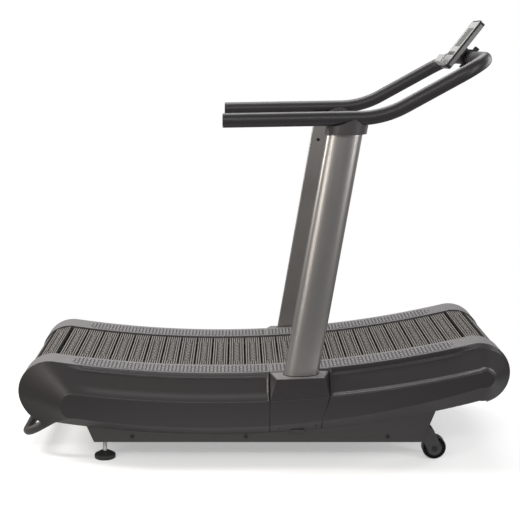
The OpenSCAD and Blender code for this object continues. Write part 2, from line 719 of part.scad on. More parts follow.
color([0.4, 0.39, 0.37]) slats(2);  // bottom_run_slats
color([0.4, 0.39, 0.37]) slats(3);  // rear_wrap_slats
belt_arc(deck_c, deck_k - belt_out, deck_k - belt_in, deck_a0 + top_cut, deck_a1 - top_cut);  // top_run_belts
belt_arc(front_c, belt_in, belt_out, front_a1 + wrap_gap, front_a0 - wrap_gap);  // front_wrap_belts
belt_arc(return_c, return_k + belt_in, return_k + belt_out, return_a1 + low_cut, return_a0 - low_cut);  // bottom_run_belts
belt_arc(rear_c, belt_in, belt_out, rear_a1 + wrap_gap, rear_a0 - wrap_gap);  // rear_wrap_belts
console_bracket();
clamp_cap();  // console_clamp_cap
console_back();
console_bezel();
console_face();
console_screen();
console_shelf();
battery_door();
button(0);  // start_button
button(1);  // stop_button
button(2);  // up_button
button(3);  // down_button
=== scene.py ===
"""The looks of the curved manual treadmill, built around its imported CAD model.

Shapes are worked out in millimetres, in the CAD model's own frame (X forward, Y to the left,
Z up), and become metres when a piece is made. Right-hand pieces lie at -Y, and left-hand ones
are their mirror.
"""

import json
import math

import bmesh
import bpy
from mathutils import Matrix, Vector

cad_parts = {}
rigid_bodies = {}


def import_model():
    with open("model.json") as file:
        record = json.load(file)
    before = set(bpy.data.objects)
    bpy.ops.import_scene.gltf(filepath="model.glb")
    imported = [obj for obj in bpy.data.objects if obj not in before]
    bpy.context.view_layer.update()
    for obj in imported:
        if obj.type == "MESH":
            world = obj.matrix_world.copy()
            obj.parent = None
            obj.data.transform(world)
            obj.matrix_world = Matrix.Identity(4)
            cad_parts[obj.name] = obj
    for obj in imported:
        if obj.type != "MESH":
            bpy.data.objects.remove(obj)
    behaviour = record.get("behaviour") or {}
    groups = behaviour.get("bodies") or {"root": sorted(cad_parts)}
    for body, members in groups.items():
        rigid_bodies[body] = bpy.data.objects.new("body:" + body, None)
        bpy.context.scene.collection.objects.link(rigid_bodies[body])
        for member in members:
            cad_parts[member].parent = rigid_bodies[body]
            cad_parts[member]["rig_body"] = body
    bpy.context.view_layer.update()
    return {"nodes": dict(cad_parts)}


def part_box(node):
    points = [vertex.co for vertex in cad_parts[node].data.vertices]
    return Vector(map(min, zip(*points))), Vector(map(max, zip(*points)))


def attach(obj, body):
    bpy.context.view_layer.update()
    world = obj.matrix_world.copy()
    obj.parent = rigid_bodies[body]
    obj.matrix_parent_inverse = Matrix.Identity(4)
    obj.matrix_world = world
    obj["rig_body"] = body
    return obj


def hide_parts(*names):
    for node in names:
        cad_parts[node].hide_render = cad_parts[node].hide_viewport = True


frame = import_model()

MM = 0.001
SIDES = ("right", "left")
WELD = 0.00001  # points closer than this are one, in metres
SHARP_ABOVE = 42  # edges that turn more than this stay sharp in the shading, in degrees
BEVEL_PROFILE = 0.6  # a little fuller than a quarter circle


# ---- plane geometry, in X and Z
def polar(centre, radius, angle):
    """The point at that distance from centre, in a direction given in degrees."""
    a = math.radians(angle)
    return (centre[0] + radius * math.cos(a), centre[1] + radius * math.sin(a))


def arc(centre, radius, a0, a1, steps):
    return [polar(centre, radius, a0 + (a1 - a0) * i / steps) for i in range(steps + 1)]


def round_angles(count):
    """Equal steps of a full turn, in radians."""
    return [2 * math.pi * k / count for k in range(count)]


def lerp(a, b, t):
    return a + (b - a) * t


def smooth_step(t):
    t = max(0.0, min(1.0, t))
    return t * t * (3 - 2 * t)


def centre_of(node):
    """The middle of a CAD node's box, in millimetres."""
    low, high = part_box(node)
    return (low + high) / 2 / MM


def angle_from(centre, point):
    return math.degrees(math.atan2(point[1] - centre[1], point[0] - centre[0]))


def rounded(width, height, radius, steps=8):
    """A rectangle about the origin with round corners."""
    w, h = width / 2 - radius, height / 2 - radius
    corners = [((w, h), 0), ((-w, h), 90), ((-w, -h), 180), ((w, -h), 270)]
    return [p for c, a in corners for p in arc(c, radius, a, a + 90, steps)]


# ---- the loop, as the CAD has it
DECK_R = 4000  # radius of the foot rails' top surface
END_R = 112  # radius of the rails round each drum
PITCH_R = 87  # radius of the belt's neutral line round a drum
RETURN_R = 6000  # radius of the returning run's neutral line

front_drum_at = centre_of("front_drum")
rear_drum_at = centre_of("rear_drum")
front_c = (front_drum_at.x, front_drum_at.z)
rear_c = (rear_drum_at.x, rear_drum_at.z)
span = math.dist(front_c, rear_c)
lift = ((rear_c[1] - front_c[1]) / span, (front_c[0] - rear_c[0]) / span)
middle = ((front_c[0] + rear_c[0]) / 2, (front_c[1] + rear_c[1]) / 2)


def centre_above(radius):
    rise = math.sqrt(radius * radius - span * span / 4)
    return (middle[0] + lift[0] * rise, middle[1] + lift[1] * rise)


deck_k = DECK_R + END_R
return_k = RETURN_R - PITCH_R
deck_c = centre_above(deck_k)
return_c = centre_above(return_k)
deck_a0, deck_a1 = angle_from(deck_c, rear_c), angle_from(deck_c, front_c)
return_a0, return_a1 = angle_from(return_c, front_c), angle_from(return_c, rear_c)

# Each stretch of the neutral line: centre, radius, first angle, last angle, turn from the radius
STRETCHES = [
    (deck_c, deck_k - PITCH_R, deck_a0, deck_a1, 90),
    (front_c, PITCH_R, deck_a1 + 180, return_a0, -90),
    (return_c, return_k + PITCH_R, return_a0, return_a1, -90),
    (rear_c, PITCH_R, return_a1 + 360, deck_a0 + 180, -90),
]
lengths = [radius * math.radians(abs(a1 - a0)) for _, radius, a0, a1, _ in STRETCHES]
SLAT_PITCH_AIM = 63.5
slat_count = round(sum(lengths) / SLAT_PITCH_AIM)
slat_pitch = sum(lengths) / slat_count


def deck_at(x, off):
    """The point at x that lies off above the line through the drums' axes, along the deck's arc."""
    radius = deck_k - off
    return polar(deck_c, radius, -90 + math.degrees(math.asin((x - deck_c[0]) / radius)))


def slat_places(stretch):
    """Place and turn of each slat whose middle lies on that stretch of the loop."""
    start = sum(lengths[:stretch])
    centre, radius, a0, a1, quarter = STRETCHES[stretch]
    for i in range(slat_count):
        s = (i + 0.5) * slat_pitch - start
        if 0 <= s < lengths[stretch]:
            a = lerp(a0, a1, s / lengths[stretch])
            yield polar(centre, radius, a), a + quarter


# ---- meshes
class Shape:
    """Points, faces and each face's paint, gathered in millimetres."""

    def __init__(self):
        self.points, self.faces, self.paints = [], [], []

    def add(self, points, faces, paint=0):
        base = len(self.points)
        self.points += [tuple(p) for p in points]
        self.faces += [[base + i for i in f] for f in faces]
        self.paints += [paint] * len(faces)
        return self

    def grid(self, rows, closed=True, capped=True, paint=0):
        """Quads between rows of points. Closed rows are rings, and capped ones get end faces."""
        n = len(rows[0])
        last = n if closed else n - 1
        faces = [[r * n + c, r * n + (c + 1) % n, (r + 1) * n + (c + 1) % n, (r + 1) * n + c]
                 for r in range(len(rows) - 1) for c in range(last)]
        if capped:
            faces += [list(range(n))[::-1], [(len(rows) - 1) * n + c for c in range(n)]]
        return self.add([p for row in rows for p in row], faces, paint)

    def lathe(self, profile, at, axis="Y", sides=64):
        """A closed profile of (radius, along) turned once round the axis through at."""
        rows = []
        for a in round_angles(sides):
            row = []
            for r, along in profile:
                u, v = r * math.cos(a), r * math.sin(a)
                row.append((at[0] + u, at[1] + along, at[2] + v) if axis == "Y"
                           else (at[0] + u, at[1] + v, at[2] + along))
            rows.append(row)
        return self.grid(rows + rows[:1], capped=False)

    def sweep(self, path, radius, sides=48):
        """A round bar along a path of 3D points."""
        path = [Vector(p) for p in path]
        tangents = [(path[min(i + 1, len(path) - 1)] - path[max(i - 1, 0)]).normalized()
                    for i in range(len(path))]
        normal = tangents[0].orthogonal().normalized()
        rows = []
        for p, t in zip(path, tangents):
            normal = (normal - t * normal.dot(t)).normalized()
            side = t.cross(normal)
            rows.append([tuple(p + radius * (normal * math.cos(a) + side * math.sin(a)))
                         for a in round_angles(sides)])
        return self.grid(rows)

    def mirrored(self):
        """The left-hand twin."""
        twin = Shape()
        twin.points = [(x, -y, z) for x, y, z in self.points]
        twin.faces = [f[::-1] for f in self.faces]
        twin.paints = list(self.paints)
        return twin


def bevel_edges(bm, width, segments, angle):
    """Rounds the edges that turn by more than angle, in degrees."""
    sharp = [e for e in bm.edges
             if len(e.link_faces) == 2 and e.calc_face_angle() > math.radians(angle)]
    bmesh.ops.bevel(bm, geom=sharp, offset=width * MM, offset_type="OFFSET", segments=segments,
                    profile=BEVEL_PROFILE, affect="EDGES", clamp_overlap=True)


def put_in_scene(name, data):
    obj = bpy.data.objects.new(name, data)
    bpy.context.scene.collection.objects.link(obj)
    return obj


def dress(name, mesh, bm, materials, body, nodes):
    """Turns a worked mesh into a piece, with its materials, its even shading, the body it rides on
    and the nodes it replaces."""
    bm.to_mesh(mesh)
    bm.free()
    obj = put_in_scene(name, mesh)
    for m in materials:
        obj.data.materials.append(m)
    obj.data.polygons.foreach_set("use_smooth", [True] * len(obj.data.polygons))
    obj.data.set_sharp_from_angle(angle=math.radians(SHARP_ABOVE))
    even = obj.modifiers.new("even_shading", "WEIGHTED_NORMAL")
    even.keep_sharp = True
    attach(obj, body)
    if nodes:
        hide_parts(*nodes)
    return obj


def make(name, shape, materials, body, slot, nodes=(), bevel=0.0, segments=2, angle=35):
    """Turns a Shape into a piece, with its edges rounded."""
    mesh = bpy.data.meshes.new(name)
    mesh.from_pydata([Vector(p) * MM for p in shape.points], [], shape.faces)
    mesh.polygons.foreach_set("material_index", shape.paints)
    bm = bmesh.new()
    bm.from_mesh(mesh)
    bmesh.ops.remove_doubles(bm, verts=bm.verts, dist=WELD)
    bmesh.ops.dissolve_degenerate(bm, dist=WELD, edges=bm.edges)
    bmesh.ops.recalc_face_normals(bm, faces=bm.faces)
    if bevel:
        bevel_edges(bm, bevel, segments, angle)
    return dress(name, mesh, bm, materials, body, nodes)


def make_on(side, name, shape, materials, slot, node="", **edges):
    """One side's frame piece, made from its right-hand shape. node is the CAD node's name without
    its side, and a piece with none is an addition."""
    twin = shape if side == "right" else shape.mirrored()
    nodes = [f"{side}_{node}"] if node else ()
    return make(f"{side}_{name}", twin, materials, "frame", slot, nodes, **edges)


def soften(node, name, materials, bevel=0.6, segments=2, angle=32, settle=None,
           accent=None):
    """A copy of a CAD node with clean faces and rounded edges, standing for that node. settle says
    how far each point moves in across the object, in millimetres. Faces whose normal accent accepts
    take the second material."""
    source = frame["nodes"][node]
    mesh = bpy.data.meshes.new(name)
    bm = bmesh.new()
    bm.from_mesh(source.data)
    bmesh.ops.remove_doubles(bm, verts=bm.verts, dist=2 * WELD)
    bmesh.ops.dissolve_limit(bm, angle_limit=math.radians(1.0), verts=bm.verts, edges=bm.edges)
    if settle:
        for v in bm.verts:
            v.co.y -= math.copysign(settle(v.co / MM) * MM, v.co.y)
    if bevel:
        bevel_edges(bm, bevel, segments, angle)
    bm.normal_update()
    for face in bm.faces:
        face.material_index = 1 if accent and accent(face.normal) else 0
    return dress(name, mesh, bm, materials, source["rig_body"], [node])


# ---- materials
DRIFT_DETAIL, GRAIN_DETAIL = 6, 3  # octaves of the two noises
COAT_ROUGH = 0.25
ROUGH_FLOOR = 0.03  # no finish is glossier than this


def set_inputs(node, values):
    for socket, value in values.items():
        node.inputs[socket].default_value = value


def add_node(tree, kind, values, **settings):
    """A shader node with its settings and its inputs' values."""
    node = tree.nodes.new("ShaderNode" + kind)
    for name, value in settings.items():
        setattr(node, name, value)
    set_inputs(node, values)
    return node


def wire(tree, source, out, target, into):
    tree.links.new(source.outputs[out], target.inputs[into])


def new_material(name, values):
    """A material with those values on its shader, its node tree and that shader."""
    mat = bpy.data.materials.new(name)
    mat.use_nodes = True
    shader = mat.node_tree.nodes["Principled BSDF"]
    set_inputs(shader, values)
    return mat, mat.node_tree, shader


def finish(name, colour, rough, metal=0.0, shade=0.18, cloud=9.0, grain=900.0, bump=0.12,
           rough_swing=0.06, stretch=(1, 1, 1), lean=0.0, coat=0.0, depth=0.0003):
    """A finish with slow colour drift, fine grain in relief and uneven gloss. shade is the share by
    which the colour drifts each way, and cloud and grain are the two noises' scales. stretch draws
    the grain out along an axis, and lean turns it about Y, in degrees."""
    mat, tree, shader = new_material(
        name, {"Metallic": metal, "Coat Weight": coat, "Coat Roughness": COAT_ROUGH})
    place = add_node(tree, "TexCoord", {})
    turn = add_node(tree, "Mapping", {"Rotation": (0, math.radians(lean), 0)})
    wire(tree, place, "Object", turn, "Vector")
    draw_out = add_node(tree, "Mapping", {"Scale": stretch})
    wire(tree, turn, "Vector", draw_out, "Vector")
    drift = add_node(tree, "TexNoise", {"Scale": cloud, "Detail": DRIFT_DETAIL})
    wire(tree, turn, "Vector", drift, "Vector")
    fine = add_node(tree, "TexNoise", {"Scale": grain, "Detail": GRAIN_DETAIL})
    wire(tree, draw_out, "Vector", fine, "Vector")

    # The mean of the drift and the grain mixes the two tones
    half = add_node(tree, "Math", {1: 0.5}, operation="MULTIPLY")
    mean = add_node(tree, "Math", {1: 0.5}, operation="MULTIPLY_ADD")
    wire(tree, fine, "Fac", half, 0)
    wire(tree, drift, "Fac", mean, 0)
    wire(tree, half, "Value", mean, 2)
    tones = add_node(tree, "Mix", {"A": (*[c * (1 - shade) for c in colour], 1),
                                   "B": (*[min(1, c * (1 + shade)) for c in colour], 1)},
                     data_type="RGBA")
    wire(tree, mean, "Value", tones, "Factor")
    wire(tree, tones, "Result", shader, "Base Color")

    gloss = add_node(tree, "MapRange", {"To Min": max(ROUGH_FLOOR, rough - rough_swing),
                                        "To Max": min(1.0, rough + rough_swing)})
    wire(tree, mean, "Value", gloss, "Value")
    wire(tree, gloss, "Result", shader, "Roughness")
    relief = add_node(tree, "Bump", {"Strength": bump, "Distance": depth})
    wire(tree, fine, "Fac", relief, "Height")
    wire(tree, relief, "Normal", shader, "Normal")
    return mat


UPRIGHT_LEAN = 9.27  # degrees

# Mouldings and paint
cover_black = finish(
    "cover_black", (0.029, 0.0255, 0.0265), 0.38, shade=0.14, grain=1500, bump=0.22, cloud=3.5)
frame_paint = finish("frame_paint", (0.034, 0.032, 0.032), 0.55, shade=0.16, grain=700, bump=0.30)
rail_grey = finish("rail_grey", (0.190, 0.182, 0.186), 0.48, shade=0.10, grain=1300, bump=0.25)
grip_grey = finish("grip_grey", (0.215, 0.207, 0.212), 0.50, shade=0.16, grain=1100, bump=0.35)
grip_floor = finish("grip_floor", (0.060, 0.057, 0.060), 0.70, shade=0.20, grain=900, bump=0.35)
bracket_grey = finish("bracket_grey", (0.060, 0.056, 0.056), 0.40, shade=0.15, grain=800, bump=0.22)
cap_black = finish("cap_black", (0.016, 0.016, 0.016), 0.50, shade=0.2, grain=1200, bump=0.25)

# Metals
silver_brushed = finish(
    "silver_brushed", (0.45, 0.43, 0.415), 0.33, metal=1.0, shade=0.07, cloud=4, grain=420,
    stretch=(1, 1, 0.012), lean=-UPRIGHT_LEAN, bump=0.16, rough_swing=0.07)
bolt_black = finish("bolt_black", (0.022, 0.022, 0.023), 0.38, metal=0.6, grain=1600, bump=0.2)
zinc = finish("zinc", (0.78, 0.78, 0.76), 0.42, metal=0.8, shade=0.12, cloud=60, grain=1300, bump=0.15)
dark_steel = finish(
    "dark_steel", (0.100, 0.100, 0.104), 0.48, metal=0.9, shade=0.14, grain=500,
    stretch=(1, 0.05, 1), bump=0.15)

# Rubbers
sleeve_satin = finish(
    "sleeve_satin", (0.028, 0.025, 0.028), 0.42, shade=0.12, grain=1800, bump=0.04, cloud=5,
    depth=0.00006, rough_swing=0.015)
wheel_rubber = finish("wheel_rubber", (0.018, 0.018, 0.018), 0.56, shade=0.25, grain=900, bump=0.35)
belt_rubber = finish("belt_rubber", (0.014, 0.014, 0.014), 0.66, grain=1200, bump=0.4)
slat_rubber = finish(
    "slat_rubber", (0.200, 0.186, 0.172), 0.72, shade=0.24, cloud=14, grain=1500, bump=0.55)
# Near black: shade painted into the slats' grooves, onto the ribs' flanks and along the slats' edges
# and undersides, on the same rubber as slat_rubber
slat_painted_shade = finish(
    "slat_painted_shade", (0.012, 0.011, 0.010), 0.85, shade=0.3, cloud=14, grain=1100, bump=0.4)
slat_panel = finish(
    "slat_panel", (0.062, 0.058, 0.054), 0.80, shade=0.3, cloud=14, grain=1100, bump=0.4)
slat_core = finish("slat_core", (0.045, 0.045, 0.045), 0.50, metal=0.4, grain=900, bump=0.2)

# Console
console_silver = finish(
    "console_silver", (0.62, 0.62, 0.62), 0.34, metal=0.35, shade=0.07, grain=1600, bump=0.12)
console_grey = finish(
    "console_grey", (0.300, 0.290, 0.290), 0.36, metal=0.4, shade=0.1, grain=1400, bump=0.12)
console_glass = finish(
    "console_glass", (0.200, 0.225, 0.195), 0.14, shade=0.1, grain=60, bump=0.0,
    rough_swing=0.03, coat=1.0)
button_grey = finish("button_grey", (0.12, 0.12, 0.125), 0.46, grain=1200, bump=0.25)


# ---- the slatted belt
RIBS = 7
RIB_PITCH = 8.4
RIB_FOOT, RIB_SHOULDER, RIB_CREST = 2.4, 2.15, 1.6  # half widths of a rib, going up
RIB_ROUND = 0.6  # from its shoulder up to its crest
PANEL_RIBS = (2, 3, 4)  # these give way to a studded panel in the middle of the slat
PANEL_HALF = 148  # half length of that panel
PANEL_RAMP = 3  # length over which the ribs run out into it
PANEL_DROP = 1.6
BASE_N, CORE_N, TREAD_N = 3.2, 10.0, 18.0  # heights over the neutral line
GROOVE = 3.2
SLAT_HALF = 28.9
SLAT_CHAMFER = 1.2  # at both ends of the slat
BELT_HALF = 216
CORE_SHY, CORE_SHORT = 0.6, 1  # how far the core stays inside the tread
WEB_HALF, WEB_T, WEB_DEEP = 157, 6, 17  # the stiffening web under the slat
BITE = 0.5  # overlap of parts moulded as one
STUD_PITCH, STUD_MARGIN = 24.0, 10
STUD_SIDES = 8
RUBBER, CORE, GROOVE_SHADE, PANEL = range(4)  # the slats' paints; the third is shade painted into the grooves, onto the ribs' flanks and along the slats' edges


def rib_profile(in_panel):
    """The tread's upper outline from one long edge of the slat to the other, and the paint of the
    strip that follows each of its points. The ribs' flanks and the grooves' floors get painted shade."""
    low, high = TREAD_N - GROOVE, TREAD_N
    points, paints = [], []
    for k in range(RIBS):
        c = (k - (RIBS - 1) / 2) * RIB_PITCH
        start = end = low
        top, edge = high, high - RIB_ROUND
        tone = RUBBER
        if in_panel and k in PANEL_RIBS:
            top = edge = high - PANEL_DROP
            start = low if k == PANEL_RIBS[0] else top
            end = low if k == PANEL_RIBS[-1] else top
            tone = PANEL
        points += [(c - RIB_FOOT, start), (c - RIB_SHOULDER, edge), (c - RIB_CREST, top),
                   (c + RIB_CREST, top), (c + RIB_SHOULDER, edge), (c + RIB_FOOT, end)]
        # The flanks and the groove floors get painted shade, and the crests get the rubber's tone
        paints += [GROOVE_SHADE, tone, tone, tone, GROOVE_SHADE, tone if end == top else GROOVE_SHADE]
    return points, paints


SIDE_TOP = TREAD_N - GROOVE - 0.3  # the slat's long edges end just under the grooves
SLAT_SIDE = [(SLAT_HALF, SIDE_TOP), (SLAT_HALF, CORE_N), (-SLAT_HALF, CORE_N), (-SLAT_HALF, SIDE_TOP)]


def slat_ring(y, in_panel, shrink=0.0):
    outline = rib_profile(in_panel)[0] + SLAT_SIDE
    return [(t, y, n - (shrink if n > CORE_N else 0)) for t, n in outline]


def stud(shape, t, y, radius, floor, height):
    """A round stud that narrows over its upper half."""
    rings = []
    for r, n in ((radius, floor - 0.4), (radius, floor + height / 2),
                 (radius * 0.72, floor + height)):
        rings.append([(t + r * math.cos(a), y + r * math.sin(a), n) for a in round_angles(STUD_SIDES)])
    shape.grid(rings)


def slat_shape():
    """One slat in its own frame: t along the belt's way, y across it, n outwards."""
    slat = Shape()
    half_rows = [(BELT_HALF, False, SLAT_CHAMFER), (BELT_HALF - SLAT_CHAMFER, False, 0),
                 (PANEL_HALF + PANEL_RAMP, False, 0), (PANEL_HALF, True, 0)]
    rows = [(-y, *rest) for y, *rest in half_rows] + half_rows[::-1]
    slat.grid([slat_ring(*row) for row in rows], paint=RUBBER)
    # The slat's long edges and its underside get painted shade too
    paints = [rib_profile(in_panel)[1] + [GROOVE_SHADE] * len(SLAT_SIDE) for in_panel in (False, True)]
    around = len(paints[0])
    for r in range(len(rows) - 1):
        in_panel = rows[r][1] and rows[r + 1][1]
        slat.paints[r * around:(r + 1) * around] = paints[in_panel]
    core_half, core_end, core_top = SLAT_HALF - CORE_SHY, BELT_HALF - CORE_SHORT, CORE_N + 0.2
    for half, end, low, high in ((core_half, core_end, BASE_N, core_top),
                                 (WEB_T / 2, WEB_HALF, BASE_N - WEB_DEEP, BASE_N + BITE)):
        box = [(-half, low), (half, low), (half, high), (-half, high)]
        slat.grid([[(t, y, n) for t, n in box] for y in (-end, end)], paint=CORE)
    floor = TREAD_N - PANEL_DROP
    count = int(2 * (PANEL_HALF - STUD_MARGIN) / STUD_PITCH)
    for i in range(count + 1):
        y = (i - count / 2) * STUD_PITCH
        way = (-1) ** i
        stud(slat, 2.6 * way, y, 4.8, floor, 1.6)
        stud(slat, -6.2 * way, y + 1.5, 2.4, floor, 1.5)
        if i < count:
            stud(slat, -2.8 * way, y + STUD_PITCH * 0.42, 2.8, floor, 1.5)
    return slat


SLAT = slat_shape()


def slat_run(name, stretch, body, node):
    """The slats of one stretch of the loop, as one piece."""
    run = Shape()
    for (x, z), turn in slat_places(stretch):
        c, s = math.cos(math.radians(turn)), math.sin(math.radians(turn))
        base = len(run.points)
        run.points += [(x + t * c - n * s, y, z + t * s + n * c) for t, y, n in SLAT.points]
        run.faces += [[base + i for i in f] for f in SLAT.faces]
        run.paints += SLAT.paints
    paints = [slat_rubber, slat_core, slat_painted_shade, slat_panel]
    make(name, run, paints, body, "slat_rubber", [node])


slat_run("top_slats", 0, "top_run", "top_run_slats")
slat_run("front_slats", 1, "front_roller", "front_wrap_slats")
slat_run("bottom_slats", 2, "bottom_run", "bottom_run_slats")
slat_run("rear_slats", 3, "rear_roller", "rear_wrap_slats")

# ---- foot rails
SEAM_X = 17
RAIL_IN, RAIL_OUT = 219, 337
RAIL_T = 4
LIP_T, LIP_DEEP = 2.4, 58  # a dark lip turned down along the belt's edge
FIELD_IN, FIELD_OUT = 228, 327  # the grip field across the rail
FIELD_X0, FIELD_X1 = -702, 690  # and along it
FIELD_HALF = (FIELD_OUT - FIELD_IN) / 2
FIELD_MID = (FIELD_OUT + FIELD_IN) / 2
FIELD_DEEP = 1.1
FIELD_RAMP = 3.0  # width over which the surface drops into the field
FIELD_STRIPS = 26
SEAM_BORDER = 5
BAR_PITCH, BAR_LENGTH, BAR_GAP = 13.6, 8.6, 6.0
BAR_BORDER = 4  # clear of the field's edge
BAR_LEAST = 4  # a bar cut shorter than this by the round ends is left out
BAR_RISE = 0.35  # over the rail's smooth border
ROUND_STEPS, DECK_STEPS = 44, 230
RAIL_PAINTS = [rail_grey, grip_floor, grip_grey]
FIELD, BAR = 1, 2  # their places in that list


def field_core(x):
    """The nearest x at which the field has its full width."""
    return min(max(x, FIELD_X0 + FIELD_HALF), FIELD_X1 - FIELD_HALF)


def field_depth(x, y):
    """How deep the rail's surface lies under its smooth border, inside a field with round ends."""
    reach = min(FIELD_HALF - math.hypot(x - field_core(x), y - FIELD_MID),
                abs(x - SEAM_X) - SEAM_BORDER)
    return FIELD_DEEP * smooth_step(reach / FIELD_RAMP)


def rail_shape(centre, a_end, a_deck, x_seam):
    """A rail from its end under the drum, over it and along the deck to the seam."""
    ys = [RAIL_IN, RAIL_IN + 0.8, RAIL_IN + 2.4]
    ys += [FIELD_IN - 4 + i * (FIELD_OUT - FIELD_IN + 8) / FIELD_STRIPS
           for i in range(FIELD_STRIPS + 1)]
    ys += [RAIL_OUT - 4.5, RAIL_OUT - 3.2, RAIL_OUT - 1.0, RAIL_OUT]
    edge = {RAIL_IN: -1.6, RAIL_IN + 0.8: -0.5,  # rolled edges: height over the surface
            RAIL_OUT - 3.2: 0.7, RAIL_OUT - 1.0: 0.6, RAIL_OUT: -0.8}
    rows = []

    def row(place, depth):
        ring = [(y, END_R - depth(y) + edge.get(y, 0)) for y in ys]
        ring += [(RAIL_OUT, END_R - RAIL_T), (RAIL_IN + LIP_T, END_R - RAIL_T),
                 (RAIL_IN + LIP_T, END_R - LIP_DEEP), (RAIL_IN, END_R - LIP_DEEP)]
        rows.append([(place(off)[0], -y, place(off)[1]) for y, off in ring])

    for i in range(ROUND_STEPS):
        a = lerp(a_end, a_deck + 180, i / ROUND_STEPS)
        row(lambda off, a=a: polar(centre, off, a), lambda y: 0)
    a_seam = -90 + math.degrees(math.asin((x_seam - deck_c[0]) / (deck_k - END_R)))
    for i in range(DECK_STEPS + 1):
        a = lerp(a_deck, a_seam, i / DECK_STEPS)
        x_top = polar(deck_c, deck_k - END_R, a)[0]
        row(lambda off, a=a: polar(deck_c, deck_k - off, a), lambda y, x=x_top: field_depth(x, y))
    rail = Shape().grid(rows)
    around = len(rows[0])
    # The lip and the edge over it are as dark as the sunk field
    for i in range(len(rows) - 1):
        rail.paints[(i + 1) * around - 3:(i + 1) * around] = [FIELD] * 3
        rail.paints[i * around] = FIELD
        for k in range(1, len(ys) - 1):
            corners = [rows[i][k], rows[i][k + 1], rows[i + 1][k], rows[i + 1][k + 1]]
            if i >= ROUND_STEPS and min(field_depth(x, -y) for x, y, _ in corners) > FIELD_DEEP / 2:
                rail.paints[i * around + k] = FIELD
    return rail


def grip_bar(shape, x, y0, y1):
    """A raised bar of the grip field, with its upper edges drawn in."""
    low, high = END_R - FIELD_DEEP - BITE, END_R + BAR_RISE
    here, there = deck_at(x, END_R), deck_c
    reach = math.dist(here, there)
    n = ((there[0] - here[0]) / reach, (there[1] - here[1]) / reach)
    t = (n[1], -n[0])
    rings = []
    for off, shy in ((low, 0), (high - 0.5, 0.15), (high, 0.9)):
        h = off - END_R
        half = BAR_LENGTH / 2 - shy
        corners = ((-half, y0 + shy), (half, y0 + shy), (half, y1 - shy), (-half, y1 - shy))
        rings.append([(here[0] + n[0] * h + t[0] * u, -y, here[1] + n[1] * h + t[1] * u)
                      for u, y in corners])
    shape.grid(rings, paint=BAR)


def grip_rows(shape, x0, x1):
    """Rows of bars across the field, with their joints staggered from row to row."""
    joints = [(0.0, 0.34, 0.66, 1.0), (0.0, 0.17, 0.5, 0.83, 1.0)]
    inner, outer = FIELD_IN + BAR_BORDER, FIELD_OUT - BAR_BORDER
    count = int((FIELD_X1 - FIELD_X0) / BAR_PITCH)
    for i in range(count + 1):
        x = FIELD_X0 + 6 + i * BAR_PITCH
        if not x0 < x < x1 or x > FIELD_X1 - BAR_BORDER:
            continue
        reach = math.sqrt(max(0.0, (FIELD_HALF - BAR_BORDER) ** 2 - (x - field_core(x)) ** 2))
        if reach < 6:
            continue
        for a, b in zip(joints[i % 2], joints[i % 2][1:]):
            y0 = max(lerp(inner, outer, a) + BAR_GAP / 2, FIELD_MID - reach)
            y1 = min(lerp(inner, outer, b) - BAR_GAP / 2, FIELD_MID + reach)
            if y1 - y0 > BAR_LEAST:
                grip_bar(shape, x, y0, y1)


REAR_RAIL_END, FRONT_RAIL_END = 248, -74  # degrees round the drums
rear_rail = rail_shape(rear_c, REAR_RAIL_END, deck_a0, SEAM_X - 0.5)
grip_rows(rear_rail, FIELD_X0, SEAM_X - SEAM_BORDER - 1)
front_rail = rail_shape(front_c, FRONT_RAIL_END, deck_a1, SEAM_X + 0.5)
grip_rows(front_rail, SEAM_X + SEAM_BORDER + 1, FIELD_X1)
for end, shape in (("rear", rear_rail), ("front", front_rail)):
    for side in SIDES:
        make_on(side, f"{end}_foot_rail", shape, RAIL_PAINTS, "rail_grey", f"{end}_rail")

# ---- side covers
HALF_WIDTH = 416  # out to the covers' flat band
LIP_Y = 390  # out to their lower lip
CREASE_OFF = 25  # the crease's height over the arc through the drums' axes
LIP_C, LIP_R = (-180, 3800.3), 3700  # the lip's arc
BAND_C, BAND_R = (-200, 3340.5), 3210  # the arc of the band's lower edge
COVER_T = 2.6
RIM_GAP, RIM_DROP = 0.6, 0.5  # from the foot rail's edge, outwards and down
HOLLOW_RUN = 0.16  # share of the slope over which its hollow begins at the rim
SEAM_GAP = 0.6
SEAM_TOP_X, SEAM_LOW_X = 231, 205  # the post panel's seam with the front cover
SEAM_WALL = 13  # length over which the slope sinks beside a seam
SEAM_RETURN = 14  # how far a cover's edge is turned in at a seam
END_STEPS = 48  # sections round a drum
SLOPE_STEPS, CREASE_STEPS = 22, 6  # points down the slope, and round the crease
CREASE_BACK, CREASE_IN = 6.0, 5.0  # where its rounding starts and ends
CREASE_BULGE, RIM_ROLL = 1.4, 1.4


def under_arc(centre, radius, x):
    return (x, centre[1] - math.sqrt(radius * radius - (x - centre[0]) ** 2))


class Station:
    """One section of a side cover: its point on the rim, its point on the flat band, and how deep
    its slope is hollowed out between the two."""

    def __init__(self, rim, rim_y, band, hollow=0.0):
        self.rim, self.rim_y, self.band, self.hollow = rim, rim_y, band, hollow


def spaced(near, far, close=12, step=2.4, count=44):
    """Values from near to far, close together over the first few."""
    way = 1 if far > near else -1
    first = [near + way * step * i for i in range(close)]
    start = near + way * step * close
    return first + [lerp(start, far, i / count) for i in range(count + 1)]


